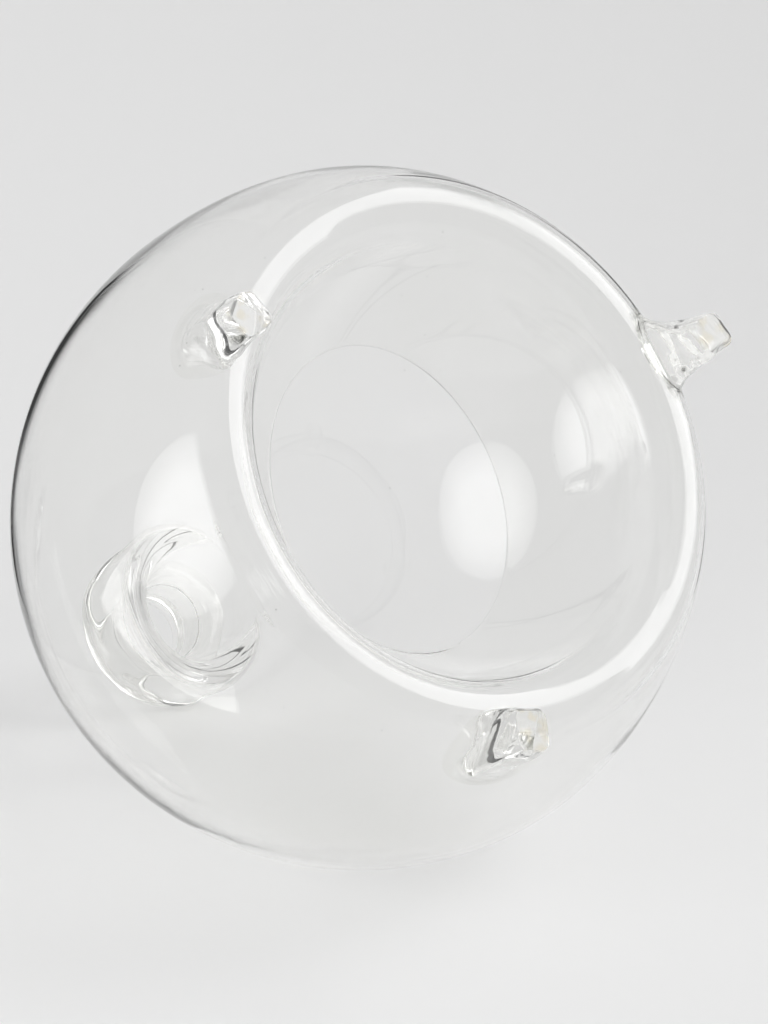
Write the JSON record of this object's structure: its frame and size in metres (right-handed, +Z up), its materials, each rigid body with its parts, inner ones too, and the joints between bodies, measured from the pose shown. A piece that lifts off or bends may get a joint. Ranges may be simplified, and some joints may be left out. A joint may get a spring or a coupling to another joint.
{
  "type": "glass fly trap",
  "caption": "Blown glass globe on applied feet, its base pushed up into an inner wall with a wide entry hole and a bait trough, and a collared neck with an open mouth.",
  "frame": {"origin": "on the table under the globe's centre, in the plane that the feet stand on", "axes": "+Z up along the globe's axis towards the mouth; -Y is the front, between the left and the right foot; +X to the right"},
  "size_m": [0.165, 0.165, 0.189],
  "materials": {
    "blown_glass": "fire-polished clear glass, faint grey tint, slightly wavy",
    "tooled_glass": "clear glass with tool marks"
  },
  "bodies": {
    "root": {"blown_body": "blown_glass", "neck_collar": "tooled_glass", "foot_back": "tooled_glass", "foot_left": "tooled_glass", "foot_right": "tooled_glass"}
  },
  "joints": []
}
